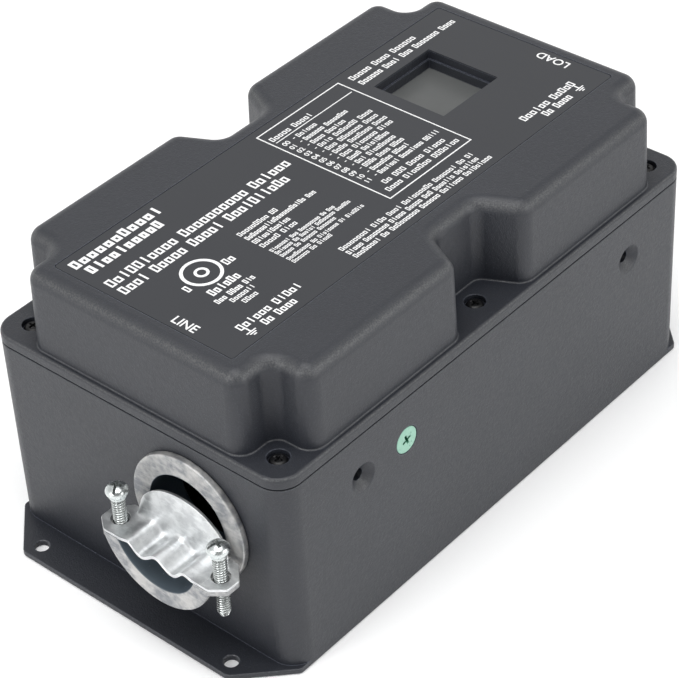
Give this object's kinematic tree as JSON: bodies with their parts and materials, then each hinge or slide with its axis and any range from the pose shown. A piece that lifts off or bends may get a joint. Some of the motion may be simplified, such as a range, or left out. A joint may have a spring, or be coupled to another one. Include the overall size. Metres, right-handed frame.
{
  "type": "hard-wired surge protector box",
  "caption": "Black moulded box with a stepped screw-down lid and display window, foot flanges at both ends and a two-screw cable clamp on each end wall.",
  "frame": {"origin": "middle of the flat mounting face underneath", "axes": "+Z out through the lid, +X from the line end to the load end, -Y towards the long side that carries the line end's ground screw"},
  "size_m": [0.3152, 0.161, 0.1415],
  "materials": {
    "shell": "moulded fine grain, satin",
    "gasket": "matt",
    "label_film": "smooth satin film",
    "window": "smoked, smooth",
    "black_steel": "black oxide",
    "cast_zinc": "as cast, satin",
    "plated_steel": "bright zinc plate",
    "green_steel": "green dyed plate",
    "tinned_aluminium": "tin plate",
    "phenolic": "moulded",
    "winding_tape": "taped",
    "copper": "bright copper",
    "blue_coating": "dipped epoxy",
    "red_insulation": "extruded",
    "terminal_brass": "machined",
    "circuit_board": "solder mask",
    "ribbon_jacket": "extruded",
    "dark_lens": "smooth"
  },
  "bodies": {
    "enclosure": {"base_tub": "shell", "lid_gasket": "gasket", "contactor_core": "black_steel", "line_connector_body": "cast_zinc", "line_connector_locknut": "plated_steel", "line_lug_screw": "plated_steel", "line_ground_lug": "tinned_aluminium", "load_connector_body": "cast_zinc", "load_connector_locknut": "plated_steel", "load_lug_screw": "plated_steel", "load_ground_lug": "tinned_aluminium", "contactor_plate": "plated_steel", "return_spring": "plated_steel", "neutral_screw_1": "plated_steel", "neutral_screw_2": "plated_steel", "contactor_housing": "phenolic", "ribbon_header": "phenolic", "contactor_coil": "winding_tape", "power_transformer": "winding_tape", "line_terminal_1": "copper", "load_terminal_1": "copper", "line_terminal_screw_1": "plated_steel", "load_terminal_screw_1": "plated_steel", "current_sensor_1": "blue_coating", "coil_lead_1": "red_insulation", "line_terminal_2": "copper", "load_terminal_2": "copper", "line_terminal_screw_2": "plated_steel", "load_terminal_screw_2": "plated_steel", "current_sensor_2": "blue_coating", "coil_lead_2": "red_insulation", "neutral_bar": "terminal_brass", "main_board": "circuit_board", "surge_varistor_1": "blue_coating", "surge_varistor_2": "blue_coating", "surge_varistor_3": "blue_coating"},
    "lid_unit": {"lid": "shell", "label_overlay": "label_film", "display_window": "window", "lid_screw_1": "black_steel", "lid_screw_2": "black_steel", "lid_screw_3": "black_steel", "lid_screw_4": "black_steel", "lid_screw_5": "black_steel", "lid_screw_6": "black_steel", "display_board": "circuit_board", "digit_display": "dark_lens", "ribbon_cable": "ribbon_jacket"},
    "contactor_armature": {"armature_plunger": "black_steel", "contact_carrier": "phenolic", "contact_bridge_1": "copper", "contact_bridge_2": "copper"},
    "line_strap": {"line_clamp_strap": "cast_zinc"},
    "line_screw_a": {"line_clamp_screw_a": "plated_steel"},
    "line_screw_b": {"line_clamp_screw_b": "plated_steel"},
    "line_ground": {"line_ground_screw": "green_steel"},
    "load_strap": {"load_clamp_strap": "cast_zinc"},
    "load_screw_a": {"load_clamp_screw_a": "plated_steel"},
    "load_screw_b": {"load_clamp_screw_b": "plated_steel"},
    "load_ground": {"load_ground_screw": "green_steel"}
  },
  "joints": [
    {"name": "lid_lift", "type": "slide", "parent": "enclosure", "child": "lid_unit", "axis": [0, 0, 1], "range_m": [0, 0.1]},
    {"name": "line_strap_rise", "type": "slide", "parent": "enclosure", "child": "line_strap", "axis": [0, 0, 1], "range_m": [0, 0.009]},
    {"name": "line_screw_a_back_out", "type": "slide", "parent": "enclosure", "child": "line_screw_a", "axis": [0, 0, 1], "range_m": [0, 0.008]},
    {"name": "line_screw_b_back_out", "type": "slide", "parent": "enclosure", "child": "line_screw_b", "axis": [0, 0, 1], "range_m": [0, 0.008]},
    {"name": "line_ground_screw_back_out", "type": "slide", "parent": "enclosure", "child": "line_ground", "axis": [0, -1, 0], "range_m": [0, 0.007]},
    {"name": "load_strap_rise", "type": "slide", "parent": "enclosure", "child": "load_strap", "axis": [0, 0, 1], "range_m": [0, 0.009]},
    {"name": "load_screw_a_back_out", "type": "slide", "parent": "enclosure", "child": "load_screw_a", "axis": [0, 0, 1], "range_m": [0, 0.008]},
    {"name": "load_screw_b_back_out", "type": "slide", "parent": "enclosure", "child": "load_screw_b", "axis": [0, 0, 1], "range_m": [0, 0.008]},
    {"name": "load_ground_screw_back_out", "type": "slide", "parent": "enclosure", "child": "load_ground", "axis": [0, 1, 0], "range_m": [0, 0.007]},
    {"name": "armature_pull_in", "type": "slide", "parent": "enclosure", "child": "contactor_armature", "axis": [0, 0, -1], "range_m": [0, 0.0028], "stiffness_N_per_m": 500, "springref_m": -0.004, "deforming": ["return_spring"]}
  ]
}
